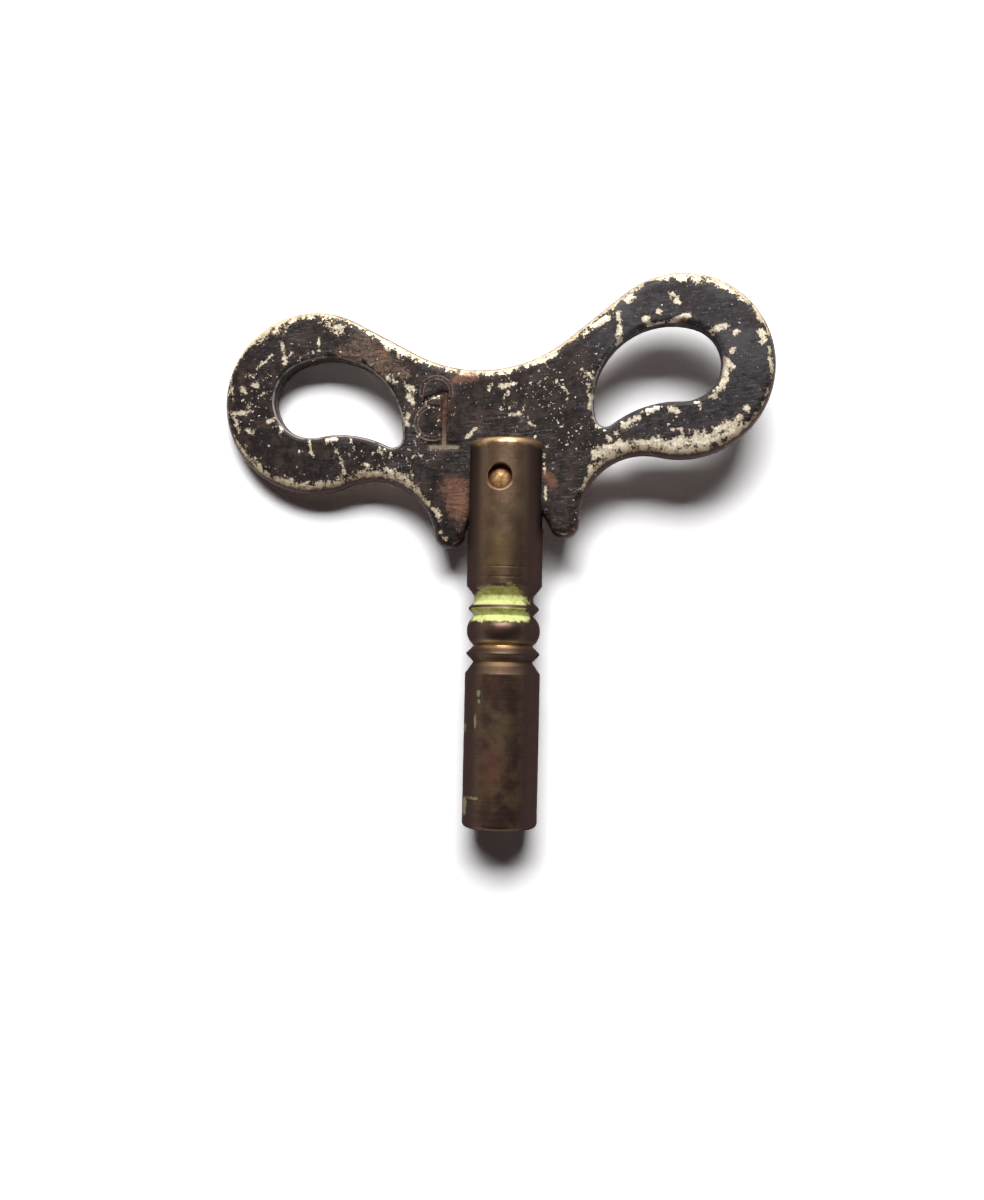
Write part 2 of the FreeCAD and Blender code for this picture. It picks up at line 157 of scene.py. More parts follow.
MIDDLE_CHIPS = (
    (-9.2, 9.8, -8.6, 9.3, 0.30), (-7.7, 9.0, -6.9, 8.4, 0.26),
    (-7.6, 8.2, -7.2, 7.3, 0.32), (-7.9, 6.3, -7.9, 5.7, 0.34),
    (-0.5, 7.8, -0.3, 8.3, 0.20), (0.4, 8.0, 1.7, 8.2, 0.24),
    (0.7, 7.0, 1.1, 7.5, 0.20), (1.2, 5.5, 1.9, 5.5, 0.24),
    (2.8, 4.7, 3.1, 4.4, 0.22), (-2.7, 4.0, -1.9, 4.6, 0.24),
    (5.3, 8.0, 6.3, 6.8, 0.17), (7.5, 8.6, 8.3, 7.9, 0.32),
    (8.1, 7.3, 8.1, 5.3, 0.26), (8.2, 4.6, 8.7, 3.7, 0.26),
    (8.1, 1.4, 8.9, 1.4, 0.52), (7.6, 0.2, 7.7, -0.5, 0.39),
    (7.2, -1.1, 6.9, -2.3, 0.30), (4.3, 9.8, 5.4, 10.2, 0.26),
    (-8.8, 1.4, -7.9, 1.0, 0.34), (-7.5, -1.0, -6.6, -1.4, 0.36),
    (-6.1, -2.1, -5.8, -2.7, 0.39), (-5.7, -4.1, -5.3, -4.6, 0.22),
    (-3.5, -3.0, -3.6, -4.3, 0.15), (3.8, 1.7, 3.6, -2.4, 0.14),
)
# The left wing's chips and the middle's are more broken up than the right wing's
BROKEN_SHARE = 0.86
COPPERY_PATCHES = (
    (-3.4, 9.05, -1.8, 9.1, 0.36), (-3.0, 9.9, -3.1, 9.3, 0.16), (-4.2, -0.4, -3.9, -2.1, 0.95),
    (3.8, -0.1, 4.3, -0.7, 0.40), (15.8, 11.8, 16.5, 12.1, 0.18),
    (-9.7, 12.2, -9.2, 11.7, 0.25),
)
RUBBED_PATCHES = (
    (-11.2, 12.8, -9.6, 11.1, 1.10), (-8.4, 10.4, -7.8, 10.0, 0.50),
    (-13.0, 12.3, -11.8, 11.6, 0.55), (-3.7, 0.0, -3.7, -3.7, 0.40),
)
# Lengths of the upper rim where the paint holds closer to it: from, to, share of the band
TIGHT_RIMS = ((-13.0, -10.8, 0.60), (-5.9, -3.4, 0.55), (1.8, 6.5, 0.72), (9.0, 16.0, 0.65))
# Broad areas where the paint has come off in flecks: from, to, half width
FLECKED_AREAS = (
    (-8.0, 8.0, -7.5, 2.0, 1.7), (-21.5, 8.0, -20.5, 11.0, 1.0), (-17.0, 12.5, -11.0, 9.5, 1.1),
    (4.5, 8.5, 6.0, 3.0, 2.1), (1.0, 7.5, 2.5, 5.5, 1.3),
    (8.0, 9.5, 9.0, 6.5, 1.2), (-13.0, 3.5, -9.0, 2.5, 1.2),
)


def leave_only(*objects):
    """Selects these objects and no others."""
    bpy.ops.object.select_all(action="DESELECT")
    for thing in objects:
        thing.select_set(True)
    bpy.context.view_layer.objects.active = objects[0]


def settle(piece, matrix=None):
    """Moves a piece's own shape to its place, and leaves the object at the origin."""
    bpy.context.view_layer.update()
    own = piece.matrix_world.copy()
    piece.data.transform((matrix or Matrix.Identity(4)) @ own)
    piece.matrix_world = Matrix.Identity(4)


def apply_modifier(piece, kind, **settings):
    leave_only(piece)
    modifier = piece.modifiers.new(kind.lower(), kind)
    for name, amount in settings.items():
        setattr(modifier, name, amount)
    bpy.ops.object.modifier_apply(modifier=modifier.name)


def cut(piece, *tools):
    """Cuts the tools' shapes out of a piece, one after the other."""
    for tool in tools:
        apply_modifier(piece, "BOOLEAN", object=tool, operation="DIFFERENCE", solver="EXACT")
        bpy.data.objects.remove(tool)


def turned(name, stations, sides=TURNED_SIDES):
    """A solid turned about the Z axis, through stations of height and radius."""
    bpy.ops.object.select_all(action="DESELECT")
    height, radius = stations[0]
    bpy.ops.mesh.primitive_circle_add(
        vertices=sides, radius=radius * MM, fill_type="NGON", location=(0, 0, height * MM))
    piece = bpy.context.object
    piece.name = name
    bpy.ops.object.mode_set(mode="EDIT")
    bpy.ops.mesh.select_all(action="SELECT")
    for next_height, next_radius in stations[1:]:
        rise = (next_height - height) * MM
        bpy.ops.mesh.extrude_region_move(TRANSFORM_OT_translate={"value": (0, 0, rise)})
        scale = next_radius / radius
        bpy.ops.transform.resize(
            value=(scale, scale, 1), center_override=(0, 0, next_height * MM))
        height, radius = next_height, next_radius
    bpy.ops.mesh.select_all(action="SELECT")
    bpy.ops.mesh.normals_make_consistent(inside=False)
    bpy.ops.object.mode_set(mode="OBJECT")
    settle(piece)
    return piece


def block(low, high):
    """A box from its lowest to its highest corner."""
    low, high = Vector(low) * MM, Vector(high) * MM
    bpy.ops.object.select_all(action="DESELECT")
    bpy.ops.mesh.primitive_cube_add(size=1, location=(low + high) / 2)
    piece = bpy.context.object
    piece.scale = high - low
    settle(piece)
    return piece


def arc_stations(height, radius, size, first, last, steps=6):
    """Stations round an arc in the profile, about a centre, between two angles."""
    stations = []
    for step in range(steps + 1):
        angle = math.radians(first + (last - first) * step / steps)
        stations.append((height + size * math.sin(angle), radius + size * math.cos(angle)))
    return stations


def finish_edges(piece, angle=35):
    leave_only(piece)
    bpy.ops.object.shade_smooth_by_angle(angle=math.radians(angle))


def barrel_profile():
    """The barrel's stations, from its mouth up to its crown.

    The long cylinders have a second station near each end, so that their shading stays true.
    """
    inner_mouth = BARREL_RADIUS - MOUTH_ROUND
    inner_crown = BARREL_RADIUS - CROWN_ROUND
    rise = BEAD_RADIUS - WAIST_RADIUS
    half_bead = (BEAD_END - BEAD_START) / 2
    bead_size = (half_bead ** 2 + rise ** 2) / (2 * rise)
    bead_sweep = math.degrees(math.asin(half_bead / bead_size))
    stations = arc_stations(MOUTH_ROUND, inner_mouth, MOUTH_ROUND, -90, 0)
    stations += [(MOUTH_ROUND + EDGE_LINE, BARREL_RADIUS), (WAIST_START - 2 * EDGE_LINE, BARREL_RADIUS)]
    stations += [(WAIST_START, BARREL_RADIUS), (RIDGE_START, WAIST_RADIUS)]
    stations += [(RIDGE_MIDDLE - HALF_LAND, BEAD_RADIUS), (RIDGE_MIDDLE + HALF_LAND, BEAD_RADIUS)]
    stations += arc_stations(
        BEAD_START + half_bead, BEAD_RADIUS - bead_size, bead_size, -bead_sweep, bead_sweep, 16)
    stations += [(COLLAR_MIDDLE - HALF_LAND, COLLAR_RADIUS), (COLLAR_MIDDLE + HALF_LAND, COLLAR_RADIUS)]
    stations += [(COLLAR_END, WAIST_RADIUS), (FLARE_START, WAIST_RADIUS), (FLARE_END, BARREL_RADIUS)]
    stations.append((FLARE_END + 2 * EDGE_LINE, BARREL_RADIUS))
    for line in SCRIBED_LINES:
        for away in (-SCRIBED_HALF_WIDTH - EDGE_LINE, -SCRIBED_HALF_WIDTH):
            stations.append((line + away, BARREL_RADIUS))
        stations.append((line, BARREL_RADIUS - SCRIBED_DEPTH))
        for away in (SCRIBED_HALF_WIDTH, SCRIBED_HALF_WIDTH + EDGE_LINE):
            stations.append((line + away, BARREL_RADIUS))
    stations.append((BARREL_LENGTH - CROWN_ROUND - EDGE_LINE, BARREL_RADIUS))
    return stations + arc_stations(BARREL_LENGTH - CROWN_ROUND, inner_crown, CROWN_ROUND, 0, 90)


def along_barrel(name, stations, sides):
    """A turned tool that stands in the barrel's mouth."""
    tool = turned(name, stations, sides)
    settle(tool, Matrix.Rotation(-math.pi / 2, 4, "X"))
    return tool


def slot_tool():
    half_slot = SLOT_WIDTH / 2
    return block(
        (-CLEAR_OF_BARREL, BARREL_LENGTH - SLOT_DEPTH, -half_slot),
        (CLEAR_OF_BARREL, BARREL_LENGTH + 1, half_slot))


def socket_tools():
    """The pilot drill, the square broach and the countersink of the winding socket."""
    drill = along_barrel("pilot_drill", (
        (-0.5, PILOT_RADIUS), (PILOT_DEPTH, PILOT_RADIUS), (PILOT_DEPTH + PILOT_POINT, 0.02)), BORED_SIDES)
    half_flats = SOCKET_FLATS / 2
    broach = block((-half_flats, -1, -half_flats), (half_flats, SOCKET_DEPTH, half_flats))
    # One side fewer than the drill, so that no edges of the two fall together
    countersink = along_barrel("mouth_countersink", (
        (-0.3, PILOT_RADIUS + 0.5), (MOUTH_SINK, PILOT_RADIUS - 0.02)), BORED_SIDES - 1)
    return drill, broach, countersink


def cross_bore_tool():
    near_end = [(-height, radius) for height, radius in reversed(BORE_STATIONS)]
    bore = turned("cross_drill", (*near_end, *BORE_STATIONS), BORED_SIDES - 1)
    settle(bore, Matrix.Translation(PIN_PLACE))
    return bore


def make_barrel():
    """The turned barrel, with its slot, its square socket and its cross bore."""
    barrel = turned("turned_barrel", barrel_profile())
    apply_modifier(
        barrel, "BEVEL", width=EDGE_BEVEL * MM, segments=2, limit_method="ANGLE",
        angle_limit=math.radians(20))
    settle(barrel, Matrix.Rotation(-math.pi / 2, 4, "X"))
    cut(barrel, slot_tool(), *socket_tools(), cross_bore_tool())
    settle(barrel, UPRIGHT)
    finish_edges(barrel)
    return barrel


def make_cross_pin():
    """The pin through cheeks and bow, its ends hammered to a low dome."""
    size = (PIN_RADIUS ** 2 + PIN_DOME ** 2) / (2 * PIN_DOME)
    edge = math.degrees(math.acos(PIN_RADIUS / size))
    top = arc_stations(PIN_END - size, 0, size, edge, 89, 8)
    bottom = [(-height, radius) for height, radius in reversed(top)]
    pin = turned("cross_pin_domed", bottom + top, BORED_SIDES)
    settle(pin, UPRIGHT @ Matrix.Translation(PIN_PLACE))
    finish_edges(pin)
    return pin


def select_only_faces(piece):
    """Enters edit mode with only the faces selected that are marked in object mode."""
    marked = [face.index for face in piece.data.polygons if face.select]
    bpy.ops.object.mode_set(mode="EDIT")
    bpy.ops.mesh.select_mode(type="FACE")
    bpy.ops.mesh.select_all(action="DESELECT")
    bpy.ops.object.mode_set(mode="OBJECT")
    for number in marked:
        piece.data.polygons[number].select = True
    bpy.ops.object.mode_set(mode="EDIT")


def stroke_tool(stroke, half_width, depth):
    """A tapered bar that stamps one stroke of the size figure, sunk from the plate's face."""
    start, end = Vector((*stroke[:2], 0)), Vector((*stroke[2:], 0))
    length = (end - start).length + 2 * half_width
    floor_share = 0.55
    bpy.ops.object.select_all(action="DESELECT")
    bpy.ops.mesh.primitive_cube_add(size=1)
    bar = bpy.context.object
    for face in bar.data.polygons:
        face.select = face.normal.z < -0.5
    select_only_faces(bar)
    floor_length_share = 1 - (1 - floor_share) * 2 * half_width / length
    bpy.ops.transform.resize(value=(floor_length_share, floor_share, 1))
    bpy.ops.object.mode_set(mode="OBJECT")
    bar.scale = Vector((length, 2 * half_width, 2 * depth)) * MM
    bar.rotation_euler = (0, 0, math.atan2(end.y - start.y, end.x - start.x))
    middle = (start + end) / 2
    bar.location = Vector((middle.x, middle.y, PLATE_HALF)) * MM
    settle(bar, FIGURE_TO_PLATE)
    return bar


def ghost_tool(centre, size, first, sweep, wire=0.2, depth=0.09):
    """A bent wire that leaves one shallow arc of an earlier stamping."""
    start = math.radians(first)
    across = Vector((math.cos(start), math.sin(start), 0))
    height = PLATE_HALF + wire - depth
    bpy.ops.object.select_all(action="DESELECT")
    bpy.ops.mesh.primitive_circle_add(vertices=12, radius=wire * MM, fill_type="NGON")
    arc = bpy.context.object
    arc.rotation_euler = (math.pi / 2, 0, start)
    arc.location = (Vector((*centre, height)) + across * size) * MM
    settle(arc)
    bpy.ops.object.mode_set(mode="EDIT")
    bpy.ops.mesh.select_all(action="SELECT")
    bpy.ops.mesh.spin(
        steps=28, angle=math.radians(sweep), center=Vector((*centre, height)) * MM, axis=(0, 0, 1))
    bpy.ops.mesh.select_all(action="SELECT")
    bpy.ops.mesh.normals_make_consistent(inside=False)
    bpy.ops.object.mode_set(mode="OBJECT")
    settle(arc, FIGURE_TO_PLATE)
    return arc


def on_plate(stroke, half_width):
    """A stroke of the size figure as a stroke on the plate."""
    ends = [FIGURE_TO_PLATE @ (Vector((*end, 0)) * MM) / MM for end in (stroke[:2], stroke[2:])]
    return (ends[0].x, ends[0].y, ends[1].x, ends[1].y, half_width)


def near_ghost(spot):
    """1 on the earlier stamping's arcs, falling to 0 beside them."""
    place = FIGURE_TO_PLATE.inverted() @ (Vector((*spot, 0)) * MM) / MM
    best = 0
    for centre, size, first, sweep in GHOST_ARCS:
        way = place.xy - Vector(centre)
        turn = (math.degrees(math.atan2(way.y, way.x)) - first) % 360
        if turn < sweep:
            best = max(best, 1 - abs(way.length - size) / GHOST_REACH)
    return best


def along_stroke(spot, stroke):
    """How far a spot is from a stroke, as a share of twice its half width."""
    start, end = Vector(stroke[0:2]), Vector(stroke[2:4])
    way = end - start
    share = max(0, min(1, (spot - start).dot(way) / way.length_squared))
    return (spot - start - way * share).length / (2 * stroke[4])


def nearness(spots, strokes):
    """For each spot, 1 in the middle of the nearest stroke, a half at its edge and 0 beyond."""
    amounts = []
    for spot in spots:
        best = 0
        for stroke in strokes:
            reach = 2 * stroke[4]
            low, high = min(stroke[0], stroke[2]) - reach, max(stroke[0], stroke[2]) + reach
            if low < spot.x < high:
                best = max(best, 1 - along_stroke(spot, stroke))
        amounts.append(best)
    return amounts


def give_attribute(piece, name, amounts):
    layer = piece.data.attributes.new(name, "FLOAT", "POINT")
    layer.data.foreach_set("value", amounts)


def in_loop(spot):
    """Whether a spot on an edge belongs to a finger loop and not to the outer rim."""
    place = Vector((abs(spot.x), spot.y))
    below_crown = (place - LOOP_CROWN_CENTRE).length < LOOP_CROWN_RADIUS + LOOP_MARGIN
    above_sill = (place - LOOP_SILL_CENTRE).length > LOOP_SILL_RADIUS - LOOP_MARGIN
    return below_crown and above_sill


def nearest_edges(spots, edge_spots):
    """The way from each spot to the nearest spot on an edge."""
    tree = kdtree.KDTree(len(edge_spots))
    for number, spot in enumerate(edge_spots):
        tree.insert((spot.x, spot.y, 0), number)
    tree.balance()
    return [edge_spots[tree.find((spot.x, spot.y, 0))[1]] - spot for spot in spots]


def rim_facing(way):
    """1 at a rim that faces up the key, -1 at one that faces down."""
    return 0 if way.length < ON_EDGE else way.normalized().y


def rim_loss(spot, way):
    """Half the width of the bared band: wide along top and foot, narrow at ends and ears."""
    facing = rim_facing(way)
    loss = EDGE_LOSS if way.length < ON_EDGE else RIM_LOSS + RIM_LOSS_EXTRA * abs(facing)
    if facing > UPPER_RIM:
        loss *= UPPER_SHARE
        for left, right, share in TIGHT_RIMS:
            outside = max(left - spot.x, spot.x - right, 0)
            loss *= min(1, share + outside)
    return loss * (EAR_SHARE if spot.y < EAR_START else 1)


def plate_from_cad():
    """The CAD's bow in the plate's own frame, as one even mesh with softened edges."""
    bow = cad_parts["bow"].copy()
    bow.data = bow.data.copy()
    bow.name = "stamped_bow"
    bow.parent = None
    bpy.context.scene.collection.objects.link(bow)
    bow.data.transform(PLATE_TO_KEY.inverted())
    leave_only(bow)
    bpy.ops.object.mode_set(mode="EDIT")
    bpy.ops.mesh.select_all(action="SELECT")
    bpy.ops.mesh.remove_doubles(threshold=0.001 * MM)
    bpy.ops.object.mode_set(mode="OBJECT")
    apply_modifier(bow, "REMESH", mode="VOXEL", voxel_size=PLATE_GRAIN * MM)
    apply_modifier(bow, "SMOOTH", factor=0.5, iterations=3)
    return bow


def mark_edges(bow, spots, heights):
    """Tells each spot how far rim and loops are, and how wide the rim beside it is bared."""
    # All edges but that of the pin's hole
    edge = [spot for spot, height in zip(spots, heights)
            if abs(height) < NEAR_MIDDLE and spot.length > 2 * PIN_RADIUS]
    rim_ways = nearest_edges(spots, [spot for spot in edge if not in_loop(spot)])
    loop_ways = nearest_edges(spots, [spot for spot in edge if in_loop(spot)])
    give_attribute(bow, "from_rim", [way.length for way in rim_ways])
    give_attribute(bow, "rim_loss", [rim_loss(spot, way) for spot, way in zip(spots, rim_ways)])
    give_attribute(bow, "rim_facing", [rim_facing(way) for way in rim_ways])
    give_attribute(bow, "from_loop", [way.length for way in loop_ways])


def mark_wear(bow, spots):
    """Tells each spot how near it is to a chip, a patch or a flecked area."""
    clean_chips = nearness(spots, RIGHT_WING_CHIPS)
    broken_chips = nearness(spots, LEFT_WING_CHIPS + MIDDLE_CHIPS)
    give_attribute(bow, "chipped", [
        max(clean, BROKEN_SHARE * broken) for clean, broken in zip(clean_chips, broken_chips)])
    give_attribute(bow, "coppery", nearness(spots, COPPERY_PATCHES))
    give_attribute(bow, "rubbed", nearness(spots, RUBBED_PATCHES))
    give_attribute(bow, "flecked", nearness(spots, FLECKED_AREAS))


def mark_figure(bow, spots):
    """Tells each spot how near it is to the figure's strokes and to the earlier stamping."""
    for name, (stroke, _, _, half_wear) in FIGURE.items():
        give_attribute(bow, name, nearness(spots, [on_plate(stroke, half_wear)]))
    give_attribute(bow, "ghost", [near_ghost(spot) for spot in spots])


def make_bow():
    """The stamped bow plate with softened edges, its size figure and the wear of its paint."""
    bow = plate_from_cad()
    cut(
        bow, *(ghost_tool(*arc) for arc in GHOST_ARCS),
        *(stroke_tool(stroke, half_width, depth) for stroke, half_width, depth, _ in FIGURE.values()))
    spots = [corner.co.xy / MM for corner in bow.data.vertices]
    heights = [corner.co.z / MM for corner in bow.data.vertices]
    mark_edges(bow, spots, heights)
    # The back is chipped as the face is, but the other way round, and has no figure
    mark_wear(bow, [
        spot if height > 0 else Vector((-spot.x, spot.y)) for spot, height in zip(spots, heights)])
    far_away = Vector((99, 99))
    mark_figure(bow, [spot if height > 0 else far_away for spot, height in zip(spots, heights)])
    settle(bow, PLATE_TO_KEY)
    finish_edges(bow, 40)
    return bow


class Nodes:
    """A node tree in the making. Sources are numbers, colours or the sockets of other nodes."""

    def __init__(self, tree):
        self.tree = tree

    def feed(self, made, inputs):
        """Fills a node's inputs, each with a value or from another node's socket."""
        for socket, source in inputs.items():
            if isinstance(source, bpy.types.NodeSocket):
                self.tree.links.new(source, made.inputs[socket])
            else:
                made.inputs[socket].default_value = source

    def node(self, kind, inputs=None, **settings):
        made = self.tree.nodes.new(kind)
        for name, amount in settings.items():
            setattr(made, name, amount)
        self.feed(made, inputs or {})
        return made

    def maths(self, operation, *sources):
        return self.node("ShaderNodeMath", dict(enumerate(sources)), operation=operation).outputs[0]

    def plus(self, first, second):
        return self.maths("ADD", first, second)

    def minus(self, first, second):
        return self.maths("SUBTRACT", first, second)

    def times(self, first, second):
        return self.maths("MULTIPLY", first, second)

    def scaled(self, source, factor, start):
        """The source times a factor, added to a start."""
        return self.maths("MULTIPLY_ADD", source, factor, start)

    def larger(self, first, second):
        return self.maths("MAXIMUM", first, second)

    def off(self, source, middle):
        """How far the source is from a middle value."""
        return self.maths("ABSOLUTE", self.minus(source, middle))

    def ramp(self, source, start, end, low=0.0, high=1.0):
        """Eases from low to high while the source goes from start to end."""
        return self.node("ShaderNodeMapRange", {
            "Value": source, "From Min": start, "From Max": end, "To Min": low, "To Max": high,
        }, interpolation_type="SMOOTHSTEP").outputs["Result"]

    def blend(self, share, first, second):
        """Mixes two colours, from the first at a share of 0 to the second at 1."""
        # The sockets of a Mix node share their names, so they go by number
        factor, first_colour, second_colour, mixed_colour = 0, 6, 7, 2
        return self.node("ShaderNodeMix", {
            factor: share, first_colour: first, second_colour: second,
        }, data_type="RGBA").outputs[mixed_colour]

    def vectors(self, operation, *sources):
        return self.node("ShaderNodeVectorMath", dict(enumerate(sources)), operation=operation).outputs

    def split(self, vector):
        """The three parts of a vector."""
        return self.node("ShaderNodeSeparateXYZ", {"Vector": vector}).outputs

    def looked_at(self):
        """1 where a surface is seen directly, in a mirror or through glass."""
        path = self.node("ShaderNodeLightPath").outputs
        return self.larger(path["Is Camera Ray"], self.larger(
            path["Is Glossy Ray"], path["Is Transmission Ray"]))


class Finish(Nodes):
    """A piece's material, drawn in millimetres in a frame of the piece's own."""

    def __init__(self, name, piece_frame):
        self.material = bpy.data.materials.new(name)
        self.material.use_nodes = True
        super().__init__(self.material.node_tree)
        self.shader = self.tree.nodes["Principled BSDF"]
        self.place = self.node("ShaderNodeMapping", {
            "Vector": self.node("ShaderNodeTexCoord").outputs["Object"],
            "Location": piece_frame.translation, "Rotation": piece_frame.to_euler("XYZ"),
            "Scale": (MM, MM, MM),
        }, vector_type="TEXTURE").outputs["Vector"]

    def amount(self, name):
        """One of the amounts that the piece's mesh carries."""
        return self.node("ShaderNodeAttribute", attribute_name=name).outputs["Fac"]

    def drawn_out(self, scale, turn=0.0):
        """The piece's frame, stretched or squeezed and turned in its plane."""
        return self.node("ShaderNodeMapping", {
            "Vector": self.place, "Rotation": (0, 0, turn), "Scale": scale}).outputs["Vector"]

    def grain(self, scale, detail=3.0, roughness=0.55, distortion=0.0, place=None):
        return self.node("ShaderNodeTexNoise", {
            "Vector": place or self.place, "Scale": scale, "Detail": detail, "Roughness": roughness,
            "Distortion": distortion,
        }).outputs["Fac"]

    def flecks(self, scale, size, share):
        """Small separate flecks: a share of the cells of a grain holds one."""
        shift = self.node("ShaderNodeTexNoise", {
            "Vector": self.place, "Scale": 3.5, "Detail": 2.0}).outputs["Color"]
        shaken = self.vectors("MULTIPLY_ADD", shift, (0.5, 0.5, 0.5), self.place)[0]
        cells = self.node("ShaderNodeTexVoronoi", {"Vector": shaken, "Scale": scale}, feature="F1")
        lot = self.node("ShaderNodeSeparateColor", {"Color": cells.outputs["Color"]}).outputs["Red"]
        spot = self.ramp(cells.outputs["Distance"], size, 0.7 * size)
        return self.times(spot, self.maths("LESS_THAN", lot, share))

    def bump(self, relief, depth):
        return self.node("ShaderNodeBump", {
            "Height": relief, "Distance": depth * MM, "Strength": 1.0}).outputs["Normal"]


# Colours of the paint
JET = (0.0045, 0.0040, 0.0045, 1)
WARM_DUST = (0.042, 0.028, 0.023, 1)
COOL_DUST = (0.033, 0.033, 0.039, 1)
PALE_BLOT = (0.062, 0.048, 0.042, 1)
BROWN_TINGE = (0.040, 0.026, 0.020, 1)
SCRATCH_GREY = (0.115, 0.113, 0.122, 1)
SHEEN_GREY = (0.080, 0.081, 0.091, 1)
RUBBED_DARK = (0.028, 0.018, 0.013, 1)
RUBBED_TAN = (0.26, 0.170, 0.122, 1)
THIN_PAINT = (0.070, 0.042, 0.030, 1)
# Colours of the struck figure's foot, and of the earlier stamping: painted shade in its grooves and
# painted highlights on their lips
FOOT_METAL = (0.27, 0.225, 0.17, 1)
GHOST_GROOVE_SHADE = (0.028, 0.017, 0.014, 1)
GHOST_LIP_HIGHLIGHT = (0.21, 0.145, 0.115, 1)
# Colours of the plating, and of the copper where that has gone too
PLATING_DULL = (0.57, 0.48, 0.34, 1)
PLATING_BRIGHT = (0.88, 0.83, 0.71, 1)
RIM_BEIGE = (0.86, 0.71, 0.47, 1)
PIT_BROWN = (0.20, 0.15, 0.09, 1)
CHIP_OLIVE = (0.30, 0.23, 0.12, 1)
SIDE_BROWN = (0.070, 0.034, 0.028, 1)
PRICK_WHITE = (0.92, 0.90, 0.86, 1)
LOOP_LINE_GREY = (0.42, 0.38, 0.34, 1)
COPPER_DARK = (0.090, 0.044, 0.030, 1)
COPPER_BRIGHT = (0.26, 0.130, 0.085, 1)


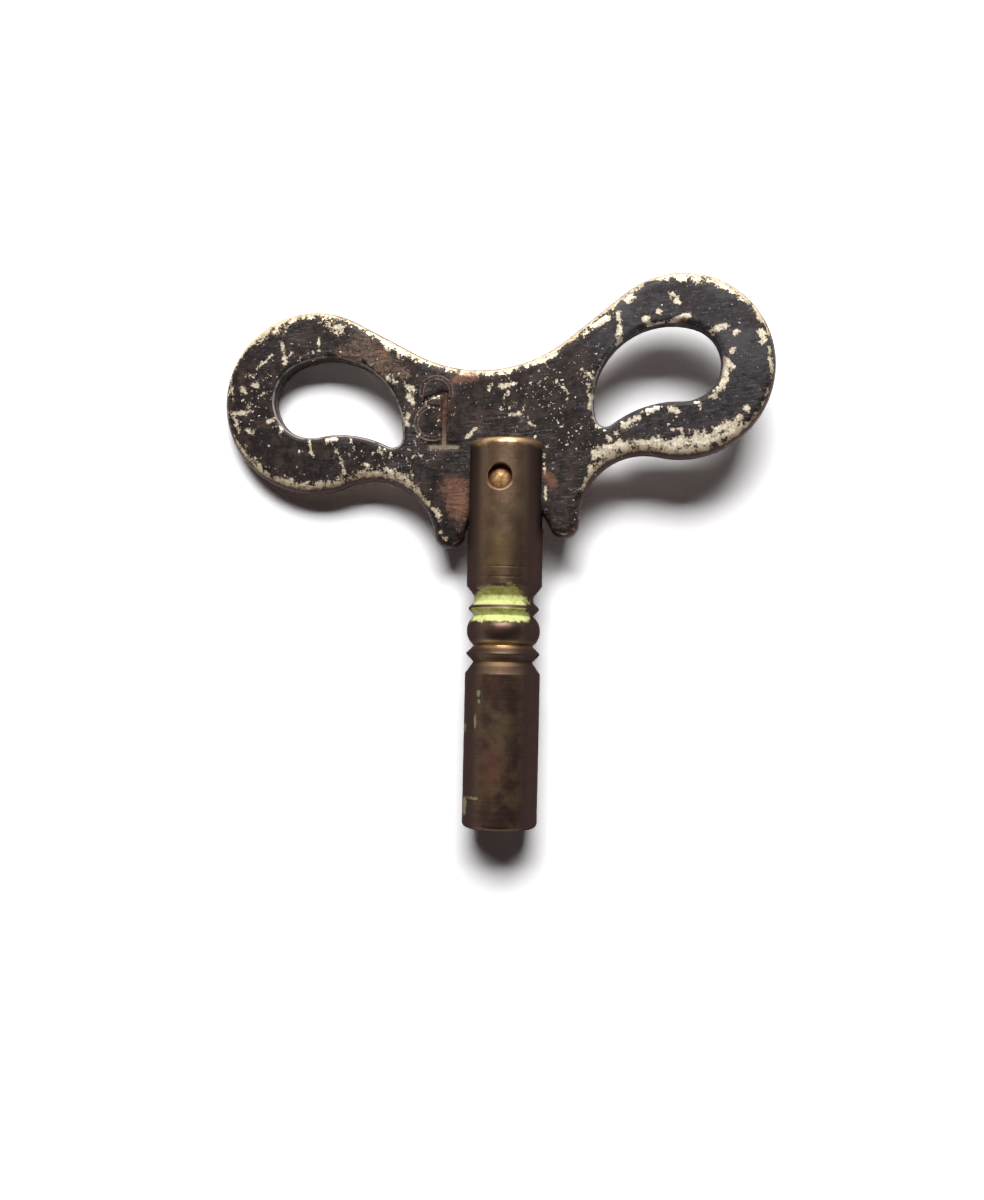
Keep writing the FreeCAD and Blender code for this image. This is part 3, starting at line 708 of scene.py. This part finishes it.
class WornPaint(Finish):
    """Black paint, flaked off at rims and in chips down to a pale plating."""

    def __init__(self):
        super().__init__("worn_black_paint", PLATE_TO_KEY)
        self.across, self.along, self.up = self.split(self.place)
        self.rise = self.maths("ABSOLUTE", self.up)
        self.middling = self.grain(1.9, 5, 0.68)
        self.fine = self.grain(6.0, 3, 0.65)
        self.ragged = self.plus(
            self.scaled(self.middling, 2.2, -1.1), self.scaled(self.fine, 1.2, -0.6))
        self.brushed = self.drawn_out((0.7, 5.0, 1.0), -0.25)
        self.streaks = self.grain(1.6, 6, 0.75, 0.8, place=self.brushed)
        self.dust = self.ramp(self.grain(1.1, 6, 0.75), 0.42, 0.70)
        # The right wing is greyer than the rest
        self.cool = self.ramp(self.across, 6.0, 12.0)
        lost = self.paint_lost()
        rims_and_chips, pricks, bare = self.laid_bare(lost)
        side = self.plate_side()
        thin = self.ramp(lost, 0.36, 0.56, 0.0, 0.8)
        paint = self.blend(thin, self.marked(self.dusty_paint()), THIN_PAINT)
        colour = self.blend(bare, paint, self.plating(lost, rims_and_chips, side))
        colour = self.blend(self.times(pricks, 0.7), colour, PRICK_WHITE)
        colour = self.blend(self.loop_line(), colour, LOOP_LINE_GREY)
        copper = self.larger(self.amount("coppery"), self.times(self.amount("stem"), 0.72))
        copper = self.ramp(self.scaled(self.ragged, 0.6, copper), 0.15, 0.85, 0.0, 0.95)
        colour = self.blend(copper, colour, self.blend(
            self.ramp(self.streaks, 0.35, 0.65), COPPER_DARK, COPPER_BRIGHT))
        pale = self.times(bare, self.scaled(side, -0.8, 1.0))
        skin = self.plus(self.times(bare, -1.0), self.times(self.grain(3.0, 5, 0.65), 0.8))
        self.feed(self.shader, {
            "Base Color": colour,
            "Metallic": self.larger(self.times(pale, 0.5), self.times(copper, 0.4)),
            "Roughness": self.plus(self.ramp(self.dust, 0, 1, 0.42, 0.62), self.times(bare, -0.08)),
            "Specular IOR Level": 0.24,
            "Specular Tint": (1, 0.84, 0.80, 1),
            "Normal": self.bump(skin, 0.035),
        })

    def paint_lost(self):
        """How far the paint is gone: from about 0.6 the plate is bare, a little below it thin."""
        # The band along the rim widens and narrows
        rim_width = self.times(
            self.ramp(self.grain(0.33, 2), 0.38, 0.62, 0.7, 1.3), self.amount("rim_loss"))
        rim = self.minus(1.2, self.maths("DIVIDE", self.amount("from_rim"), self.times(rim_width, 2.0)))
        chips = self.times(
            self.amount("chipped"), self.ramp(self.grain(1.1, 2, 0.5), 0.36, 0.60, 0.72, 1.22))
        lost = self.larger(self.larger(rim, chips), self.times(self.amount("flag"), 0.72))
        return self.plus(lost, self.ragged)

    def laid_bare(self, lost):
        """Where rims and chips are bare, where pinpricks are, and all that is bare."""
        rims_and_chips = self.times(
            self.ramp(lost, 0.56, 0.64), self.ramp(self.grain(4.3, 3, 0.6), 0.31, 0.36))
        # Flecks and pinpricks are thicker in some places than in others
        crowd = self.scaled(
            self.amount("flecked"), 0.6, self.ramp(self.grain(0.4, 2), 0.40, 0.62, 0.02, 0.2))
        crowd = self.times(crowd, self.ramp(self.along, 0.0, 3.0, 0.35, 1.0))
        flakes = self.flecks(1.5, 0.25, self.times(crowd, 0.3))
        pricks = self.larger(
            self.flecks(3.4, 0.30, self.times(crowd, 0.14)),
            self.ramp(self.scaled(crowd, 0.07, self.grain(4.2, 2, 0.5)), 0.735, 0.755))
        patches = self.ramp(self.scaled(crowd, 0.10, self.grain(2.4, 4, 0.6)), 0.69, 0.72)
        bare = self.larger(self.larger(rims_and_chips, patches), self.larger(flakes, pricks))
        return rims_and_chips, pricks, bare

    def dusty_paint(self):
        """Black paint, dusty and brown in places, scratched on the right wing, where a painted sheen also
        lies, stronger higher up.
        """
        paint = self.blend(self.dust, JET, self.blend(self.cool, WARM_DUST, COOL_DUST))
        blots = self.ramp(self.grain(2.4, 4, 0.7), 0.50, 0.72, 0.0, 0.5)
        paint = self.blend(blots, paint, PALE_BLOT)
        warm = self.ramp(self.grain(0.55, 3, 0.6), 0.46, 0.66, 0.0, 0.8)
        paint = self.blend(self.times(warm, self.scaled(self.cool, -0.7, 1.0)), paint, BROWN_TINGE)
        scratches = self.ramp(self.scaled(
            self.fine, 0.5, self.grain(1.3, 4, 0.7, place=self.brushed)), 0.74, 0.95, 0.0, 0.7)
        scratched = self.larger(
            self.times(self.cool, 0.9), self.ramp(self.grain(0.25, 1), 0.45, 0.60))
        paint = self.blend(self.times(scratches, scratched), paint, SCRATCH_GREY)
        # Painted sheen on the right wing, stronger further up it
        painted_sheen = self.times(self.cool, self.ramp(self.grain(0.3, 3, 0.7), 0.42, 0.60, 0.1, 0.65))
        painted_sheen = self.times(painted_sheen, self.ramp(self.along, 5.0, 11.5, 0.25, 1.15))
        return self.blend(painted_sheen, paint, SHEEN_GREY)

    def marked(self, paint):
        """The paint with its rubbed patches, the earlier stamping's arcs with painted shade in their
        grooves and painted highlights on their lips, and the figure's foot.
        """
        rubbed = self.ramp(
            self.plus(self.amount("rubbed"), self.times(self.ragged, 0.8)), 0.25, 0.75, 0.0, 0.92)
        brushed = self.ramp(self.scaled(self.fine, 0.5, self.streaks), 0.60, 0.95)
        paint = self.blend(rubbed, paint, self.blend(brushed, RUBBED_DARK, RUBBED_TAN))
        ghost = self.amount("ghost")
        # Painted shade in the earlier stamping's grooves, and painted highlights on their lips
        paint = self.blend(self.ramp(ghost, 0.55, 0.85), paint, GHOST_GROOVE_SHADE)
        lip = self.times(self.ramp(ghost, 0.25, 0.42), self.ramp(ghost, 0.85, 0.60))
        lip = self.times(lip, self.ramp(self.middling, 0.42, 0.58, 0.30, 1.0))
        paint = self.blend(lip, paint, GHOST_LIP_HIGHLIGHT)
        foot = self.times(
            self.ramp(self.amount("foot"), 0.35, 0.7), self.ramp(self.fine, 0.35, 0.55, 0.40, 1.0))
        return self.blend(foot, paint, FOOT_METAL)

    def plate_side(self):
        """1 down the side of the plate, beyond its rounded rim."""
        low_edge = self.ramp(self.amount("rim_facing"), -0.3, 0.6, 0.82, 0.60)
        depth = self.minus(self.scaled(self.middling, 0.5, self.minus(self.rise, 0.25)), low_edge)
        return self.ramp(depth, 0.12, -0.12)

    def plating(self, lost, rims_and_chips, side):
        """Pale mottled plating, olive at the edge of a chip and brown down the plate's side."""
        mottle = self.ramp(self.grain(4.0, 5, 0.7), 0.38, 0.66)
        plating = self.blend(mottle, PLATING_DULL, PLATING_BRIGHT)
        beige = self.ramp(self.amount("from_rim"), 1.1, 0.3, 0.0, 0.8)
        plating = self.blend(beige, plating, RIM_BEIGE)
        pits = self.ramp(self.grain(8.0, 2, 0.5), 0.58, 0.68, 0.0, 0.75)
        plating = self.blend(pits, plating, PIT_BROWN)
        olive = self.times(self.ramp(lost, 0.86, 0.58), rims_and_chips)
        plating = self.blend(self.times(olive, 0.7), plating, CHIP_OLIVE)
        return self.blend(side, plating, SIDE_BROWN)

    def loop_line(self):
        """A thin pale line along each finger loop's broken edge, partly paint rubbed bare and partly a
        painted highlight where the bevel catches the light; faint on the right.
        """
        line = self.ramp(self.off(self.rise, 0.80), 0.10, 0.03)
        line = self.times(line, self.ramp(self.amount("from_loop"), 0.5, 0.3))
        line = self.times(line, self.ramp(self.grain(0.9, 3), 0.36, 0.55, 0.2, 0.9))
        return self.times(line, self.scaled(self.cool, -0.9, 1.0))


# Colours of the barrel's brass
BRASS_DARK = (0.078, 0.046, 0.037, 1)
BRASS_BROWN = (0.134, 0.093, 0.055, 1)
BRASS_UPPER = (0.202, 0.134, 0.083, 1)
TURNED_LINE = (0.21, 0.15, 0.10, 1)
RUDDY_STREAK = (0.15, 0.050, 0.038, 1)
DARK_STAIN = (0.050, 0.033, 0.028, 1)
COPPERY_FLUSH = (0.175, 0.084, 0.062, 1)
GILT_PATCH = (0.27, 0.185, 0.075, 1)
SIDE_SHADE_BROWN = (0.038, 0.023, 0.022, 1)
HIGHLIGHT_GOLD = (0.66, 0.42, 0.20, 1)
BORE_LIP = (0.70, 0.52, 0.38, 1)
BORE_WALL_LIGHT = (0.28, 0.14, 0.075, 1)
# Colours of the green crust, and of its specks lower down
CRUST_BROWN = (0.160, 0.110, 0.040, 1)
CRUST_OLIVE = (0.43, 0.40, 0.11, 1)
CRUST_GREEN = (0.69, 0.74, 0.29, 1)
CRUST_TAN = (0.36, 0.30, 0.085, 1)
SPECK_GREEN = (0.34, 0.33, 0.18, 1)
# Specks of the green deposit on the barrel: across and along it, with their half sizes
SPECKS = (
    (-1.75, 11.6, 0.16, 0.28), (-1.7, 10.9, 0.14, 0.2), (-2.0, 9.3, 0.12, 0.7),
    (-2.9, 1.9, 0.22, 0.9), (-2.2, 2.7, 0.6, 0.16), (-3.0, 8.6, 0.12, 0.4),
)


class AgedBrass(Finish):
    """Turned brass gone brown, with painted gold highlights in the grooves and on the crown, painted shade
    down its sides, and a green crust about the collar.
    """

    def __init__(self):
        super().__init__("aged_brass", UPRIGHT)
        self.across, self.along, self.up = self.split(self.place)
        self.from_middle = self.maths("ABSOLUTE", self.across)
        self.on_top = self.ramp(self.up, 0.2, 1.2)
        self.turned_lines = self.grain(1.0, 3, 0.6, place=self.drawn_out((0.25, 9.0, 0.25)))
        self.patina = self.ramp(self.grain(0.45, 5, 0.62), 0.36, 0.66)
        self.ragged = self.scaled(self.grain(1.6, 5, 0.65), 2.4, -1.2)
        # Painted shade: darker down both sides of the barrel, and more so on its right side
        painted_side_shade = self.larger(
            self.ramp(self.from_middle, 1.2, 2.4, 0.0, 0.86), self.ramp(self.across, -0.2, 2.0, 0.0, 0.42))
        # Painted highlights of gold in the two grooves beside the ridge and on the crown
        painted_gold_highlights = self.larger(self.groove_highlights(), self.crown_highlight())
        crust, crust_colour = self.green_crust()
        wall, lip = self.pin_bore()
        specks = self.ramp(self.scaled(
            self.ragged, 0.9, self.times(self.specks(), self.on_top)), 0.5, 0.9, 0.0, 0.55)
        colour = self.blend(painted_side_shade, self.brown_brass(), SIDE_SHADE_BROWN)
        colour = self.blend(painted_gold_highlights, colour, HIGHLIGHT_GOLD)
        colour = self.blend(crust, colour, crust_colour)
        colour = self.blend(lip, colour, BORE_LIP)
        colour = self.blend(wall, colour, BORE_WALL_LIGHT)
        colour = self.blend(specks, colour, SPECK_GREEN)
        crust = self.larger(crust, specks)
        self.feed(self.shader, {
            "Base Color": colour,
            "Metallic": self.scaled(self.larger(crust, wall), -0.85, 0.85),
            "Roughness": self.roughness(crust, painted_gold_highlights, painted_side_shade),
            "Specular Tint": (0.34, 0.30, 0.31, 1),
            "Normal": self.bump(self.relief(crust), 0.06),
        })

    def brown_brass(self):
        """Brown brass, paler towards the crown, with streaks, stains and two brighter patches."""
        colour = self.blend(self.patina, BRASS_DARK, BRASS_BROWN)
        colour = self.blend(self.ramp(self.along, 18.5, 30.5, 0.0, 0.86), colour, BRASS_UPPER)
        colour = self.blend(self.ramp(self.turned_lines, 0.35, 0.68, 0.0, 0.22), colour, TURNED_LINE)
        streaks = self.grain(0.8, 4, 0.6, place=self.drawn_out((1.5, 0.45, 1.5)))
        colour = self.blend(self.ramp(streaks, 0.54, 0.72, 0.0, 0.55), colour, RUDDY_STREAK)
        stains = self.ramp(self.grain(1.7, 5, 0.7), 0.58, 0.70, 0.0, 0.45)
        colour = self.blend(stains, colour, DARK_STAIN)
        flush = self.times(
            self.ramp(self.off(self.along, 5.6), 2.6, 0.4),
            self.ramp(self.off(self.across, -0.45), 1.4, 0.2, 0.0, 0.75))
        colour = self.blend(flush, colour, COPPERY_FLUSH)
        gilt = self.times(
            self.ramp(self.off(self.along, 23.6), 2.6, 0.4),
            self.ramp(self.from_middle, 1.9, 0.3, 0.0, 0.45))
        return self.blend(gilt, colour, GILT_PATCH)

    def groove_highlights(self):
        """Painted highlights of gold in the two grooves beside the ridge, the upper one brighter,
        strongest in the middle.
        """
        below_ridge, above_ridge = RIDGE_START - 0.1, BEAD_START + 0.1
        grooves = self.larger(
            self.ramp(self.off(self.along, below_ridge), 0.4, 0.12, 0.0, 0.25),
            self.ramp(self.off(self.along, above_ridge), 0.45, 0.10))
        return self.times(grooves, self.ramp(self.from_middle, 2.0, 0.7, 0.1, 0.9))

    def crown_highlight(self):
        # Painted highlight of gold on the crown, strongest in the middle
        crown = self.ramp(self.plus(self.along, self.grain(1.2, 3)), 33.0, 33.7, 0.0, 0.9)
        return self.times(crown, self.ramp(self.from_middle, 2.8, 1.0, 0.45, 1.0))

    def green_crust(self):
        """The crust's share and colour: on the neck, where it narrows upwards, and on the bead."""
        off_middle = self.off(self.across, -0.28)
        to_side = self.plus(off_middle, self.times(self.ragged, 0.9))
        neck_reach = self.ramp(self.along, 19.4, 21.4, 2.55, 1.5)
        neck = self.times(
            self.ramp(self.along, COLLAR_MIDDLE + 0.18, COLLAR_MIDDLE + 0.32),
            self.ramp(to_side, neck_reach, self.minus(neck_reach, 0.5)))
        neck = self.times(neck, self.ramp(self.scaled(self.ragged, 0.6, self.along), 20.9, 20.35))
        shoulder = self.times(
            self.ramp(self.along, COLLAR_MIDDLE + 0.05, COLLAR_MIDDLE - 0.1),
            self.ramp(self.scaled(self.ragged, 0.35, self.along), BEAD_END - 0.68, BEAD_END - 0.5))
        shoulder = self.times(shoulder, self.ramp(to_side, 2.65, 2.3))
        crust = self.times(self.larger(neck, shoulder), self.on_top)
        # Greenest on the bead and low on the neck; kept bright as painted light on the collar's lower
        # slope and on the flare, which face away from the light
        greenness_and_light = self.larger(
            self.ramp(self.along, COLLAR_MIDDLE, COLLAR_MIDDLE - 0.7, 0.60, 1.0),
            self.times(
                self.ramp(self.along, 20.8, 19.6),
                self.ramp(self.along, COLLAR_MIDDLE, COLLAR_MIDDLE + 0.2)))
        greenness_and_light = self.scaled(self.ragged, 0.8, greenness_and_light)
        colour = self.blend(self.ramp(greenness_and_light, 0.0, 0.5), CRUST_BROWN, CRUST_OLIVE)
        colour = self.blend(self.ramp(greenness_and_light, 0.4, 1.0), colour, CRUST_GREEN)
        tan = self.times(self.ramp(self.grain(1.3, 4, 0.65), 0.50, 0.66, 0.0, 0.55), neck)
        return crust, self.blend(tan, colour, CRUST_TAN)

    def specks(self):
        """1 on the specks of deposit, falling to 0 round them."""
        amount = 0.0
        for middle, height, half_width, half_length in SPECKS:
            beside = self.maths("DIVIDE", self.minus(self.across, middle), half_width)
            above = self.maths("DIVIDE", self.minus(self.along, height), half_length)
            reach = self.plus(self.times(beside, beside), self.times(above, above))
            amount = self.larger(amount, self.ramp(reach, 2.5, 0.0))
        return amount

    def pin_bore(self):
        """The wall of the cross bore, lightened to a brown as painted light where it lies in shade, and
        its lower lip, which catches the light.
        """
        from_pin = self.vectors("SUBTRACT", self.place, tuple(PIN_PLACE / MM))[0]
        from_pin = self.vectors("MULTIPLY", from_pin, (1, 1, 0))[0]
        from_axis = self.vectors("LENGTH", from_pin)["Value"]
        # Painted light: the bore's wall lies in shade and is given a lighter brown that shows there
        wall = self.ramp(from_axis, PIN_RADIUS + 0.07, PIN_RADIUS + 0.02)
        lip = self.times(
            self.ramp(from_axis, PIN_RADIUS + 0.03, PIN_RADIUS + 0.09),
            self.ramp(from_axis, PIN_RADIUS + 0.23, PIN_RADIUS + 0.15))
        lip = self.times(lip, self.ramp(self.split(from_pin)["Y"], -0.3, -0.9, 0.0, 0.8))
        return wall, lip

    def roughness(self, crust, painted_gold_highlights, painted_side_shade):
        """Roughest on crust, on the painted side shade and on the slope of the waist, smoothest under the
        painted gold highlights.
        """
        rough = self.plus(self.ramp(self.patina, 0, 1, 0.36, 0.46), self.times(crust, 0.4))
        rough = self.scaled(painted_gold_highlights, -0.1, rough)
        rough = self.scaled(painted_side_shade, 0.14, rough)
        waist = self.times(
            self.ramp(self.along, WAIST_START - 0.2, WAIST_START + 0.2),
            self.ramp(self.along, RIDGE_START + 0.3, RIDGE_START, 0.0, 0.22))
        return self.plus(rough, waist)

    def relief(self, crust):
        """Turned lines, with the crust standing above them."""
        thick = self.times(crust, self.scaled(self.grain(5.0, 4, 0.6), 1.2, 0.6))
        relief = self.plus(self.times(self.turned_lines, 0.08), thick)
        return self.plus(relief, self.times(self.grain(2.0, 5, 0.6), 0.2))


PIN_BROWN = (0.25, 0.142, 0.052, 1)
PIN_GOLD = (0.62, 0.385, 0.150, 1)
PIN_EDGE_SHADE = (0.22, 0.105, 0.055, 1)
PIN_LIT_SPOT_SHIFT = 0.25


def pin_brass():
    """Brass of the cross pin, mottled, with painted shade round its edge that leaves a painted lit spot a
    little off its middle, towards the barrel's mouth.
    """
    pin = Finish("pin_brass", UPRIGHT @ Matrix.Translation(PIN_PLACE))
    mottle = pin.ramp(pin.grain(2.2, 3, 0.6), 0.38, 0.64)
    colour = pin.blend(mottle, PIN_BROWN, PIN_GOLD)
    # Painted shade round the head's edge, centred a little towards the mouth so that a painted lit spot
    # lies there
    flat = pin.vectors("MULTIPLY_ADD", pin.place, (1, 1, 0), (0, PIN_LIT_SPOT_SHIFT, 0))[0]
    edge = pin.ramp(pin.vectors("LENGTH", flat)["Value"], 0.40, 0.85, 0.0, 0.92)
    pin.feed(pin.shader, {
        "Base Color": pin.blend(edge, colour, PIN_EDGE_SHADE),
        "Metallic": 0.7,
        "Roughness": 0.5,
        "Normal": pin.bump(pin.grain(1.6, 2, 0.5), 0.08),
    })
    return pin.material


def hand_over(piece, node_name, material):
    """Gives a piece its finish, and lets it stand for its CAD node on the key's one body."""
    piece.data.materials.clear()
    piece.data.materials.append(material)
    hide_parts(node_name)
    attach(piece, "root")


# The camera looks straight down, as the photograph does, from a hand's length above the table
TABLE = -3.25 * MM
CAMERA_PLACE = (-0.22 * MM, 13.86 * MM, TABLE + 107.0 * MM)
CAMERA_ROLL = math.radians(1.25)
LENS = 35.9
SHIFT = (-0.0067, 0.056)


def make_camera():
    data = bpy.data.cameras.new("camera")
    data.lens = LENS
    data.sensor_width = 36
    data.shift_x, data.shift_y = SHIFT
    data.clip_start = 0.001
    camera = bpy.data.objects.new("camera", data)
    bpy.context.scene.collection.objects.link(camera)
    camera.location = CAMERA_PLACE
    camera.rotation_euler = (0, 0, CAMERA_ROLL)
    bpy.context.scene.camera = camera


TABLE_SIZE = 0.8
TABLE_SEEN = (1.28, 1.27, 1.28, 1)
TABLE_GIVES_BACK = (0.78, 0.72, 0.73, 1)


def make_table():
    """A white table: what looks at it sees a purer white than the light that it gives back."""
    bpy.ops.object.select_all(action="DESELECT")
    bpy.ops.mesh.primitive_plane_add(size=TABLE_SIZE, location=(0, 0, TABLE))
    table = bpy.context.object
    table.name = "table"
    material = bpy.data.materials.new("white_table")
    material.use_nodes = True
    paper = Nodes(material.node_tree)
    paper.tree.nodes.remove(paper.tree.nodes["Principled BSDF"])
    white = paper.blend(paper.looked_at(), TABLE_GIVES_BACK, TABLE_SEEN)
    paper.feed(paper.tree.nodes["Material Output"], {
        "Surface": paper.node("ShaderNodeBsdfDiffuse", {"Color": white}).outputs["BSDF"]})
    table.data.materials.append(material)


WINDOW_AIM = Vector((0, 0.02, 0))
WINDOW_DISTANCE = 4.7


def add_window(name, elevation, bearing, width, height, power):
    """A window's light from beyond the bow, turned by its bearing towards the left wing."""
    data = bpy.data.lights.new(name, "AREA")
    data.shape = "RECTANGLE"
    data.size = width
    data.size_y = height
    data.energy = power
    lamp = bpy.data.objects.new(name, data)
    bpy.context.scene.collection.objects.link(lamp)
    elevation, bearing = math.radians(elevation), math.radians(bearing)
    way = Vector((
        -math.sin(bearing) * math.cos(elevation), math.cos(bearing) * math.cos(elevation),
        math.sin(elevation)))
    lamp.location = WINDOW_AIM + way * WINDOW_DISTANCE
    lamp.rotation_euler = (-way).to_track_quat("-Z", "Y").to_euler()


PURE_WHITE = (1, 1, 1, 1)
WALL_LIGHT = (1, 0.78, 0.76, 1)
PATCH_WAY = (-0.58, 0.05, 0.81)


def make_room():
    """A room with white walls and a dim ceiling.

    Behind the key all is white; a mirror shows the walls, the ceiling and a pale patch high on
    the left. The light that the walls give comes from a low band.
    """
    world = bpy.data.worlds.new("room")
    world.use_nodes = True
    room = Nodes(world.node_tree)
    way = room.node("ShaderNodeTexCoord").outputs["Generated"]
    height = room.split(way)["Z"]
    band = room.ramp(height, 0.22, 0.04)
    walls = room.larger(
        room.ramp(height, 0.50, 0.26), room.node("ShaderNodeLightPath").outputs["Is Camera Ray"])
    patch = room.ramp(room.vectors("DOT_PRODUCT", way, PATCH_WAY)["Value"], 0.84, 0.98, 0.0, 0.25)
    looked_at = room.looked_at()
    given = room.scaled(band, 0.70, 0.016)
    mirrored = room.plus(room.scaled(walls, 0.99, 0.03), patch)
    factor, first_number, second_number, mixed_number = 0, 2, 3, 0
    strength = room.node("ShaderNodeMix", {
        factor: looked_at, first_number: given, second_number: mirrored}).outputs[mixed_number]
    room.feed(room.tree.nodes["Background"], {
        "Color": room.blend(room.times(looked_at, walls), WALL_LIGHT, PURE_WHITE),
        "Strength": strength,
    })
    bpy.context.scene.world = world


bpy.context.scene.view_settings.view_transform = "Standard"
hand_over(make_bow(), "bow", WornPaint().material)
hand_over(make_barrel(), "barrel", AgedBrass().material)
hand_over(make_cross_pin(), "cross_pin", pin_brass())
make_camera()
make_table()
add_window("window", elevation=47.5, bearing=3, width=3.2, height=1.8, power=318)
add_window("low_window", elevation=5.0, bearing=-4, width=1.8, height=0.5, power=36)
make_room()
